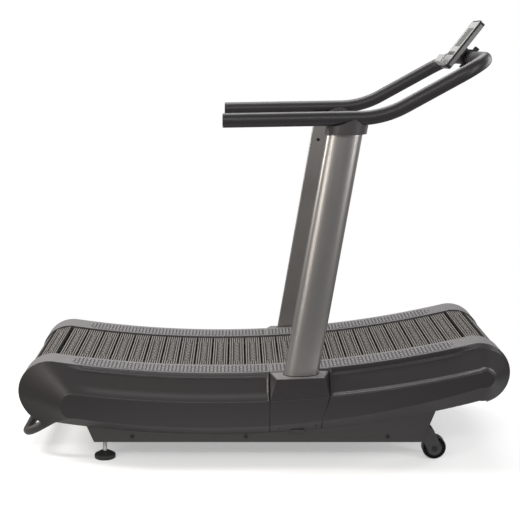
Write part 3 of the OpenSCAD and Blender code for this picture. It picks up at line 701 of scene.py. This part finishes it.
def cover_stations(sign, seam_top, seam_low, band_x, centre, band_centre, band_size, low_x,
                   low_band, hollow):
    """The sections of a cover from its seam along the deck, round the drum and back below to the
    seam. sign is -1 at the rear. The band ends at band_x above and at low_band below, with an
    ellipse between them, and the lower lip ends at low_x."""
    rim_end = polar(deck_c, deck_k - END_R, deck_a1 if sign > 0 else deck_a0)[0]
    keeps = 0.55 if sign > 0 else 0  # share of the hollow that goes on round the drum
    stations = []
    for x in spaced(seam_top, rim_end):
        t = (x - seam_top) / (rim_end - seam_top)
        wall = smooth_step(abs(x - seam_top) / SEAM_WALL)
        fade = 1 - smooth_step((t - 0.86) / 0.14) * (1 - keeps)
        band = deck_at(lerp(seam_top, band_x, t), CREASE_OFF)
        stations.append(Station(deck_at(x, END_R - RIM_DROP), RAIL_OUT + RIM_GAP, band,
                                hollow * wall * fade))
    low_rim = under_arc(LIP_C, LIP_R, low_x)
    a0 = (deck_a1 if sign > 0 else deck_a0) + 180
    a1 = angle_from(centre, low_rim) + (0 if sign > 0 else 360)
    for i in range(1, END_STEPS):
        t = i / END_STEPS
        a = lerp(a0, a1, t)
        band = (band_centre[0] + band_size[0] * math.cos(math.radians(a)),
                band_centre[1] + band_size[1] * math.sin(math.radians(a)))
        # Past half way, the rim moves out to the lower lip
        turn_in = smooth_step((t - 0.55) / 0.45)
        radius = lerp(END_R - RIM_DROP, math.dist(centre, low_rim), turn_in)
        stations.append(Station(polar(centre, radius, a), lerp(RAIL_OUT + RIM_GAP, LIP_Y, turn_in),
                                band, hollow * keeps * (1 - smooth_step(t / 0.6))))
    for x in reversed(spaced(seam_low, low_x)):
        t = (x - seam_low) / (low_x - seam_low)
        stations.append(Station(under_arc(LIP_C, LIP_R, x), LIP_Y,
                                under_arc(BAND_C, BAND_R, lerp(seam_low, low_band, t))))
    return stations


def cover_shape(stations, ledge):
    """The shell's outer face: a slope from the rim out to a rounded crease, and the flat band inside
    it. ledge is the share of the slope over which the hollow runs out at the crease."""
    count = len(stations)
    rows = []
    for i, place in enumerate(stations):
        before, after = stations[max(i - 1, 0)].band, stations[min(i + 1, count - 1)].band
        way = Vector((after[0] - before[0], 0, after[1] - before[1])).normalized()
        other = stations[count - 1 - i].band
        inward = Vector((-way.z, 0, way.x))
        if inward.dot(Vector((other[0] - place.band[0], 0, other[1] - place.band[1]))) < 0:
            inward = -inward
        edge = Vector((place.rim[0], -place.rim_y, place.rim[1]))
        crease = Vector((place.band[0], -HALF_WIDTH, place.band[1]))
        slope = edge - crease
        back = min(CREASE_BACK, slope.length * 0.3)
        on_slope = crease + slope.normalized() * back
        on_band = crease + inward * CREASE_IN
        top = crease + Vector((0, -CREASE_BULGE, 0))
        dip = way.cross(slope).normalized()
        if dip.y < 0:
            dip = -dip
        ring = [edge + Vector((0, RIM_ROLL, 0)), edge]
        for k in range(1, SLOPE_STEPS):
            t = k / SLOPE_STEPS
            depth = place.hollow * smooth_step(t / HOLLOW_RUN) * smooth_step((1 - t) / ledge)
            ring.append(edge.lerp(on_slope, t) + dip * depth)
        for k in range(CREASE_STEPS + 1):
            u = k / CREASE_STEPS
            ring.append(on_slope * (1 - u) ** 2 + top * 2 * u * (1 - u) + on_band * u * u)
        rows.append([tuple(p) for p in ring])
    for end in (0, -1):
        inner = [(x, y + SEAM_RETURN, z) for x, y, z in rows[end]]
        rows.insert(0 if end == 0 else len(rows), inner)
    shell = Shape().grid(rows, closed=False, capped=False)
    # The flat band bridges the sections that face each other, from the seam to the drum
    n, total = len(rows[0]), len(rows)
    for i in range(total // 2):
        a, b = (i + 1) * n - 1, (i + 2) * n - 1
        c, d = (total - 1 - i) * n - 1, (total - i) * n - 1
        if b != c:
            shell.faces.append([a, b, c, d])
            shell.paints.append(0)
    return shell


def give_wall(piece, edge_round=0.0):
    """Thickens an open skin inwards, and puts its shading modifier last again."""
    wall = piece.modifiers.new("wall", "SOLIDIFY")
    wall.thickness = COVER_T * MM
    wall.offset = -1
    if edge_round:
        edge = piece.modifiers.new("edge", "BEVEL")
        edge.width = edge_round * MM
        edge.segments = 2
        edge.limit_method = "ANGLE"
        edge.angle_limit = math.radians(60)
    piece.modifiers.move(0, len(piece.modifiers) - 1)


rear_cover = cover_shape(cover_stations(
    sign=-1, seam_top=SEAM_X - SEAM_GAP, seam_low=SEAM_X - SEAM_GAP, band_x=-684, centre=rear_c,
    band_centre=(-688, 210), band_size=(40, 45), low_x=-745, low_band=-680, hollow=6.0), ledge=0.35)
front_cover = cover_shape(cover_stations(
    sign=1, seam_top=SEAM_TOP_X, seam_low=SEAM_LOW_X, band_x=768, centre=front_c,
    band_centre=(783, 312), band_size=(33, 31), low_x=770, low_band=768, hollow=11.0), ledge=0.14)
for end, shape in (("rear", rear_cover), ("front", front_cover)):
    for side in SIDES:
        give_wall(make_on(side, f"{end}_side_cover", shape, [cover_black], "cover_black",
                          f"{end}_cover"), edge_round=0.8)

# ---- post panels
PANEL_STEPS = 14
PANEL_GAP = 0.4
SHELF_X = (40, 209)  # the shelf's outer corners, at its rear and front end
SHELF_OUT_Z = (309, 315)  # and their heights
SHELF_MID_Y = (341.5, 348)  # its inner edge beside the foot rail
SHELF_MID_Z = (313.5, 322)
SHELF_IN_Z = (314.5, 323)  # and its strip under the rail
SHELF_PAINT = 1
TAB_X, TAB_SIZE, TAB_CORNER = 116, (50, 13), 4.5
CREASE_BEAD_R, SEAM_BEAD_R = 2.2, 3.4


def post_panel():
    """The raised panel round the upright's foot: shelf, tapering face, rolled lip, returned sides."""
    columns = []
    for k in range(PANEL_STEPS + 1):
        t = k / PANEL_STEPS
        crease_x = lerp(SEAM_X + PANEL_GAP, SEAM_TOP_X - SEAM_GAP, t)
        low_x = lerp(SEAM_X + PANEL_GAP, SEAM_LOW_X - SEAM_GAP, t)
        crease_z = deck_at(crease_x, CREASE_OFF)[1]
        band_z = under_arc(BAND_C, BAND_R, low_x)[1]
        lip_z = under_arc(LIP_C, LIP_R, low_x)[1]
        columns.append([(crease_x, -RAIL_OUT + 8, lerp(*SHELF_IN_Z, t)),
                        (crease_x, -lerp(*SHELF_MID_Y, t), lerp(*SHELF_MID_Z, t)),
                        (lerp(*SHELF_X, t), -HALF_WIDTH + 2.5, lerp(*SHELF_OUT_Z, t)),
                        (crease_x, -HALF_WIDTH, crease_z), (low_x, -HALF_WIDTH, band_z),
                        (low_x, -LIP_Y, lip_z), (low_x, -LIP_Y + 4, lip_z + 2.5)])
    panel = Shape().grid(columns, closed=False, capped=False)
    strips = len(columns[0]) - 1
    for k in range(PANEL_STEPS):
        panel.paints[k * strips:k * strips + 2] = [SHELF_PAINT] * 2
    for column in (columns[0], columns[-1]):
        _, shelf, top, crease, band, lip, _ = column
        deep = [(x, y + d, z) for (x, y, z), d in ((shelf, 14), (crease, 60), (band, 16), (lip, 6))]
        points = [shelf, top, crease, band, lip] + deep
        panel.add(points, [[0, 1, 2], [0, 2, 6, 5], [2, 3, 7, 6], [3, 4, 8, 7]])
    return panel


def panel_trim():
    """The fine bead along the post panel's crease, the beads over its two seams, and the little tab
    that hangs from its lip."""
    low = under_arc(LIP_C, LIP_R, TAB_X)[1] + 1.5
    rings = []
    for shy, y in ((1.6, LIP_Y + 9.5), (0.0, LIP_Y + 8), (0.0, LIP_Y - 1)):
        outline = rounded(TAB_SIZE[0] - 2 * shy, TAB_SIZE[1] - 2 * shy, TAB_CORNER - shy, 5)
        rings.append([(TAB_X + u, -y, low + v) for u, v in outline])
    line = [deck_at(lerp(SEAM_X + 3, SEAM_TOP_X - 4, i / 24), CREASE_OFF) for i in range(25)]
    trim = Shape().sweep([(x, -HALF_WIDTH + 0.6, z) for x, z in line], CREASE_BEAD_R, sides=20)
    trim.grid(rings)
    for x in (SEAM_X - 4.5, SEAM_TOP_X + 5):
        top = Vector((x, -RAIL_OUT - 4.5, deck_at(x, END_R - 5)[1]))
        foot = Vector((x, -HALF_WIDTH + 1.2, deck_at(x, CREASE_OFF)[1]))
        trim.sweep([top.lerp(foot, i / 10) for i in range(11)], SEAM_BEAD_R, sides=24)
    return trim


# ---- handlebar
HANDLE_R = 25
ARM_Y = 384
LEVEL, RISE = 1.3, 29.1  # slopes of an arm's rear and front stretch, in degrees
BEND_R, CORNER_R = 340, 110
ARM_REAR = (-149, 1221.1)  # the arm's rear end, in X and Z
CROSSBAR = (762, 1434)


def handle_path():
    """The right arm from its rear end to the middle of the crossbar."""
    chord, bend = math.dist(ARM_REAR, CROSSBAR), math.radians(RISE - LEVEL)
    below = math.radians(RISE - angle_from(ARM_REAR, CROSSBAR))
    run = chord * math.sin(below) / math.sin(bend)
    knee = polar(ARM_REAR, run, LEVEL)
    cut = BEND_R * math.tan(bend / 2)
    flat = [polar(ARM_REAR, (run - cut) * i / 12, LEVEL) for i in range(12)]
    bend_c = polar(polar(ARM_REAR, run - cut, LEVEL), BEND_R, LEVEL + 90)
    flat += arc(bend_c, BEND_R, LEVEL - 90, RISE - 90, 20)
    top = polar(knee, cut, RISE)
    rise_len = math.dist(CROSSBAR, knee) - cut - CORNER_R
    flat += [polar(top, rise_len * i / 8, RISE) for i in range(1, 8)]
    path = [(x, -ARM_Y, z) for x, z in flat]
    for i in range(25):
        a = math.radians(90 * i / 24)
        x, z = polar(top, rise_len + CORNER_R * math.sin(a), RISE)
        path.append((x, -ARM_Y + CORNER_R * (1 - math.cos(a)), z))
    reach = ARM_Y - CORNER_R
    path += [(CROSSBAR[0], -reach + reach * i / 6, CROSSBAR[1]) for i in range(1, 7)]
    return path


right_half = handle_path()
whole = right_half + [(x, -y, z) for x, y, z in right_half[-2::-1]]
make("handlebar_grip", Shape().sweep(whole, HANDLE_R), [sleeve_satin], "frame", "sleeve_black",
     ["handlebar_sleeve"])


def end_cap(shape, side):
    """A shallow domed plug over the end of an arm."""
    x, z = ARM_REAR
    rings = []
    for r, out in ((HANDLE_R, 0.0), (HANDLE_R, 1.6), (HANDLE_R - 0.6, 2.9), (HANDLE_R - 2.2, 3.8),
                   (HANDLE_R - 8, 4.3), (6.0, 4.5), (4.2, 4.0), (0.4, 3.9)):
        rings.append([(x - out, side * ARM_Y + r * math.cos(a), z + r * math.sin(a))
                      for a in round_angles(48)])
    shape.grid(rings)


caps = Shape()
for side in (-1, 1):
    end_cap(caps, side)
make("arm_end_caps", caps, [cap_black], "frame", "sleeve_black", ["handlebar_end_caps"])

# ---- uprights
FOOT_X, FOOT_Z = 43.7, 170  # the foot's rear corner
UPRIGHT_Y = 347  # its flat inner side
UPRIGHT_W, UPRIGHT_D, UPRIGHT_LEN = 123, 45, 1036
UPRIGHT_T = 4
UPRIGHT_CORNER = 3.0
FLANK = 13  # depth of the flanks, up to the crown
SHADOW_RING_Z = (310.5, 315)  # the shelf's height under the dark ring painted as the shadow at the upright's foot, over SHELF_X
SHADOW_RING_RISE, SHADOW_RING_Y = 5.5, 344  # and how much higher it is at that distance out


def crown(shy, steps=56):
    """The upright's section, drawn in by shy: a flat inner side with round corners, short flanks
    and a half-elliptical crown."""
    w, d, r = UPRIGHT_W, UPRIGHT_D, UPRIGHT_CORNER
    points = arc((r + shy, r + shy), r, 180, 270, 4)
    points += arc((w - r - shy, r + shy), r, 270, 360, 4)
    for k in range(steps + 1):
        a = math.pi * k / steps
        points.append((w / 2 + (w / 2 - shy) * math.cos(a), FLANK + (d - FLANK - shy) * math.sin(a)))
    return points


def upright_place(u, out, h):
    """The point u along the upright's section, out from its inner side and h up its length."""
    lean = math.radians(UPRIGHT_LEAN)
    return (FOOT_X + u * math.cos(lean) + h * math.sin(lean), -UPRIGHT_Y - out,
            FOOT_Z - u * math.sin(lean) + h * math.cos(lean))


def upright_shape():
    """A hollow extrusion: the outer skin, the bore and the two rings between them."""
    outer, inner = crown(0), crown(UPRIGHT_T)
    ends = ((outer, 0), (outer, UPRIGHT_LEN), (inner, UPRIGHT_LEN), (inner, 0), (outer, 0))
    rows = [[upright_place(u, out, h) for u, out in outline] for outline, h in ends]
    return Shape().grid(rows, capped=False)


def shadow_ring_shape():
    """A dark ring round the upright's foot, where it comes up through the shelf: painted shadow, not a
    real seal.
    """
    lean = math.radians(UPRIGHT_LEAN)
    rows = []
    for shy, rise in ((-2.4, -4.0), (-2.4, 1.2), (-1.6, 2.0), (0.3, 2.0)):
        row = []
        for u, out in crown(shy):
            along = (FOOT_X + u * math.cos(lean) - SHELF_X[0]) / (SHELF_X[1] - SHELF_X[0])
            back = (HALF_WIDTH - UPRIGHT_Y - out) / (HALF_WIDTH - SHADOW_RING_Y)
            z = lerp(*SHADOW_RING_Z, along) + SHADOW_RING_RISE * back + rise
            row.append(upright_place(u, out, (z - FOOT_Z + u * math.sin(lean)) / math.cos(lean)))
        rows.append(row)
    return Shape().grid(rows, capped=False)


for side in SIDES:
    make_on(side, "upright_post", upright_shape(), [silver_brushed], "upright_silver", "upright")
for side in SIDES:
    give_wall(make_on(side, "post_panel", post_panel(), [cover_black, rail_grey], "cover_black",
                      "post_cover", bevel=3.2, segments=4, angle=14))
    make_on(side, "panel_trim", panel_trim(), [cover_black], "cover_black")
    # A black ring as painted shadow where each upright meets the shelf
    make_on(side, "upright_shadow_ring", shadow_ring_shape(), [cap_black], "sleeve_black")

# ---- wheels and feet
WHEEL_R, WHEEL_HALF, HUB_R, BORE_R = 43, 20, 14, 5.2
TREAD_R = WHEEL_R - 4  # inside of the tyre
COLLAR_IN, COLLAR_OUT = 25, 29
WHEEL_RIBS = 22
PAD_R, PAD_BORE = 38, 7.1
STEM_R, THREAD_PITCH = 7, 2.0
AXIS_R = 0.3  # where a turned solid stops short of its axis


def wheel_shape(at):
    """A wheel with a grooved tyre, a web with ribs on both sides, a collar and a long hub."""
    r, half, hub = WHEEL_R, WHEEL_HALF, HUB_R
    edge = [(r, half - 4), (41.6, half - 1.0), (40.2, half), (39.4, half - 0.6)]
    groove = [(r, 4), (42.2, 5), (42.2, 6), (r, 7)]
    outer = groove + edge
    tyre = [(q, -y) for q, y in outer[::-1]] + outer + [(TREAD_R, half - 3), (TREAD_R, -half + 3)]
    web = [(hub - 2, -6), (TREAD_R + 0.5, -6), (TREAD_R + 0.5, 6), (hub - 2, 6)]
    rim = [(COLLAR_OUT, half - 2), (COLLAR_OUT - 0.6, half - 1), (COLLAR_IN + 0.6, half - 1),
           (COLLAR_IN, half - 2)]
    collar = [(q, -y) for q, y in rim[::-1]] + rim
    core = [(BORE_R, -25), (hub - 1, -25), (hub, -24), (hub, 24), (hub - 1, 25), (BORE_R, 25)]
    wheel = Shape()
    for profile in (tyre, web, collar, core):
        wheel.lathe(profile, at, sides=72)
    near, far = COLLAR_OUT - 1, TREAD_R + 0.6
    for a in round_angles(WHEEL_RIBS):
        c, s = math.cos(a), math.sin(a)
        for side in (-1, 1):
            rings = []
            for out, thick in ((5, 3.2), (half - 3, 2.6), (half - 2, 1.4)):
                v0 = thick / 2
                rings.append([(at[0] + u * c - v * s, at[1] + side * out, at[2] + u * s + v * c)
                              for u, v in ((near, -v0), (far, -v0), (far, v0), (near, v0))])
            wheel.grid(rings)
    return wheel


for side in SIDES:
    at = centre_of(f"{side}_wheel")
    make(f"{side}_transport_wheel_tyre", wheel_shape(at), [wheel_rubber], f"{side}_transport_wheel",
         "wheel_black", [f"{side}_wheel"])


def foot_shape(at):
    """A pad on a raised ring, with a groove round its side and a coned top."""
    r = PAD_R
    profile = [(PAD_BORE, 3), (r - 6, 3), (r - 6, 0), (r - 1.6, 0), (r - 0.4, 0.8), (r, 2.4), (r, 7),
               (r - 0.8, 7.6), (r - 0.8, 8.6), (r, 9.2), (r, 11.6), (r - 0.8, 13.8), (r - 3, 16),
               (26, 21), (15, 26.8), (12.4, 27.8), (PAD_BORE, 28)]
    return Shape().lathe(profile, (at.x, at.y, 0), axis="Z", sides=72)


def stem_shape(at, low, high):
    """A rod with rings for its thread."""
    r = STEM_R
    count = int((high - low - 4) / THREAD_PITCH)
    profile = [(AXIS_R, low), (r - 1, low), (r - 0.4, low + 1)]
    for i in range(count):
        z = low + 2 + i * THREAD_PITCH
        profile += [(r - 0.9, z), (r, z + THREAD_PITCH / 2)]
    profile += [(r - 0.4, high - 1), (r - 1, high), (AXIS_R, high)]
    return Shape().lathe(profile, (at.x, at.y, 0), axis="Z", sides=36)


for side in SIDES:
    pad_at = centre_of(f"{side}_foot_pad")
    make(f"{side}_foot_base", foot_shape(pad_at), [wheel_rubber], f"{side}_foot", "wheel_black",
         [f"{side}_foot_pad"])
    low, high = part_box(f"{side}_foot_stem")
    make(f"{side}_levelling_screw", stem_shape(pad_at, low.z / MM, high.z / MM), [zinc],
         f"{side}_stem", "steel_bright", [f"{side}_foot_stem"])

# ---- pieces that keep the CAD's own shape
for side in SIDES:
    soften(f"{side}_skirt_plate", f"{side}_skirt", [frame_paint], 0.8)
    soften(f"{side}_side_beam", f"{side}_beam", [frame_paint], 0.6)
    soften(f"{side}_handle_bracket", f"{side}_handle_socket", [bracket_grey],
           2.0, 3)
    soften(f"{side}_wheel_bracket", f"{side}_wheel_fork", [frame_paint], 0.6)
soften("frame_cross_tubes", "cross_members", [frame_paint], 1.0)
soften("rear_lift_handle", "lift_bar", [frame_paint], 0)
soften("upright_bolts", "upright_screws", [bolt_black], 0.5)


def onto_lip(p):
    """The post panels' screws lie on its sloping lip, so they go in with it."""
    if abs(p.y) < LIP_Y + 6 or not SEAM_X < p.x < SEAM_LOW_X:
        return 0.0
    low, high = under_arc(LIP_C, LIP_R, p.x)[1], under_arc(BAND_C, BAND_R, p.x)[1]
    return (HALF_WIDTH - LIP_Y) * max(0.0, 1 - (p.z - low) / (high - low))


soften("frame_bolts", "frame_screws", [bolt_black], 0.5, settle=onto_lip)
soften("wheel_axles", "axles", [bolt_black], 0.5)
soften("foot_lock_nuts", "lock_nuts", [zinc], 0.8)
soften("drum_bearing_blocks", "bearing_blocks", [dark_steel], 0.8)
soften("guide_rails", "belt_guides", [dark_steel], 0.4)
CONSOLE_TURN = math.radians(37.4)


def corner(normal):
    """Whether a face is on the console shell's round corners, which wear black caps."""
    up = normal.x * math.sin(CONSOLE_TURN) + normal.z * math.cos(CONSOLE_TURN)
    return abs(normal.y) > 0.2 and abs(up) > 0.2


soften("console_back", "console_shell", [console_grey, cap_black], 1.2, 3,
       accent=corner)
soften("console_bezel", "console_trim", [cap_black], 1.2, 3)
soften("console_face", "console_panel", [console_silver], 0.5)
soften("console_shelf", "device_shelf", [console_silver], 0.8)
soften("console_bracket", "console_mount", [cap_black], 1.0)
soften("console_clamp_cap", "console_clamp", [cap_black], 1.0)
soften("battery_door", "battery_hatch", [console_silver], 0.3)
soften("console_screen", "console_window", [console_glass], 0.3)
for key in ("start", "stop", "up", "down"):
    soften(f"{key}_button", f"{key}_key", [button_grey], 0.9, 3)


def paint(nodes, material):
    """A CAD node that stays as it is gets a procedural finish."""
    for node in nodes:
        mesh = frame["nodes"][node].data
        mesh.materials.clear()
        mesh.materials.append(material)


paint(["guide_bearings", "front_drum", "rear_drum"], dark_steel)
paint(["front_wrap_belts", "rear_wrap_belts", "top_run_belts", "bottom_run_belts"], belt_rubber)
paint(["handlebar_tube"], zinc)

# ---- stage, light and camera
FLOOR_HALF = 6.0  # metres, like everything in this section
FLOOR_TONE, FLOOR_GLOW = 0.80, 0.37
FADE_FROM, FADE_TO = 0.35, 1.35  # the floor fades out between these distances
FADE_SQUASH = 0.72  # and reaches further along X than across it
AMBIENT = 0.22
WARM, WARMER = (1.0, 0.96, 0.90), (1.0, 0.95, 0.88)
CAMERA_AT = (-0.1036, -4.526, 1.482)
CAMERA_PITCH, CAMERA_YAW, CAMERA_ROLL = 10.22, 1.14, -0.38
CAMERA_LENS, SENSOR = 83.12, 36  # millimetres


def floor():
    """A pale matte floor that thins out into the white backdrop away from the object."""
    side = FLOOR_HALF
    corners = [(-side, -side, 0), (side, -side, 0), (side, side, 0), (-side, side, 0)]
    mesh = bpy.data.meshes.new("floor")
    mesh.from_pydata(corners, [], [[0, 1, 2, 3]])
    obj = put_in_scene("floor", mesh)
    mat, tree, shader = new_material("floor", {
        "Base Color": (FLOOR_TONE, FLOOR_TONE, FLOOR_TONE, 1), "Roughness": 0.85,
        "Specular IOR Level": 0.1, "Emission Color": (1, 1, 1, 1), "Emission Strength": FLOOR_GLOW})
    place = add_node(tree, "TexCoord", {})
    squash = add_node(tree, "Mapping", {"Scale": (FADE_SQUASH, 1.0, 1.0)})
    wire(tree, place, "Object", squash, "Vector")
    reach = add_node(tree, "VectorMath", {}, operation="LENGTH")
    wire(tree, squash, "Vector", reach, 0)
    fade = add_node(tree, "MapRange", {"From Min": FADE_FROM, "From Max": FADE_TO,
                                       "To Min": 1.0, "To Max": 0.0},
                    interpolation_type="SMOOTHSTEP")
    wire(tree, reach, "Value", fade, "Value")
    wire(tree, fade, "Result", shader, "Alpha")
    obj.data.materials.append(mat)


def softbox(name, at, towards, size, power, colour=(1, 1, 1)):
    """A rectangular light of that power in watts, turned towards a point."""
    data = bpy.data.lights.new(name, "AREA")
    data.shape = "RECTANGLE"
    data.size, data.size_y = size
    data.energy = power
    data.color = colour
    lamp = put_in_scene(name, data)
    lamp.location = at
    lamp.rotation_euler = (Vector(towards) - Vector(at)).to_track_quat("-Z", "Y").to_euler()


def camera():
    """Where the photographer stood: in front of the right side, a little above the belt."""
    pitch, yaw, roll = (math.radians(a) for a in (CAMERA_PITCH, CAMERA_YAW, CAMERA_ROLL))
    level = math.cos(pitch)
    ahead = Vector((math.sin(yaw) * level, math.cos(yaw) * level, -math.sin(pitch)))
    right = Vector((math.cos(yaw), -math.sin(yaw), 0))
    down = ahead.cross(right)
    across = (right * math.cos(roll) + down * math.sin(roll)).normalized()
    upward = (-ahead).cross(across)
    data = bpy.data.cameras.new("camera")
    data.sensor_width = SENSOR
    data.lens = CAMERA_LENS
    cam = put_in_scene("camera", data)
    turn = Matrix((across, upward, -ahead)).transposed().to_4x4()
    cam.matrix_world = Matrix.Translation(CAMERA_AT) @ turn
    bpy.context.scene.camera = cam


def backdrop():
    """A white backdrop to look at, which lights the object only as much as a dim studio would."""
    world = bpy.data.worlds.new("backdrop")
    world.use_nodes = True
    tree = world.node_tree
    white = tree.nodes["Background"]
    set_inputs(white, {"Color": (1, 1, 1, 1)})
    seen = add_node(tree, "LightPath", {})
    strength = add_node(tree, "MapRange", {"To Min": AMBIENT, "To Max": 1.0})
    wire(tree, seen, "Is Camera Ray", strength, "Value")
    wire(tree, strength, "Result", white, "Strength")
    bpy.context.scene.world = world


floor()
backdrop()
softbox("high_top", (-0.1, 1.5, 3.4), (0, 0, 0.3), (3.6, 1.8), 98)
softbox("front_high", (-0.1, -4.1, 2.95), (0, 0, 1.0), (3.4, 0.45), 46)
softbox("left_strip", (-2.3, -2.9, 1.7), (0.0, 0, 0.6), (0.55, 2.6), 27, WARMER)
softbox("right_strip", (3.0, -2.2, 1.7), (0.2, 0, 0.6), (0.55, 2.6), 34)
softbox("left_rim", (-3.2, 0.1, 2.2), (-0.7, 0, 0.3), (0.5, 1.4), 84, WARM)
softbox("right_rim", (3.2, 1.6, 1.8), (0, 0, 0.7), (0.8, 2.4), 40)
camera()
bpy.context.scene.view_settings.view_transform = "Standard"
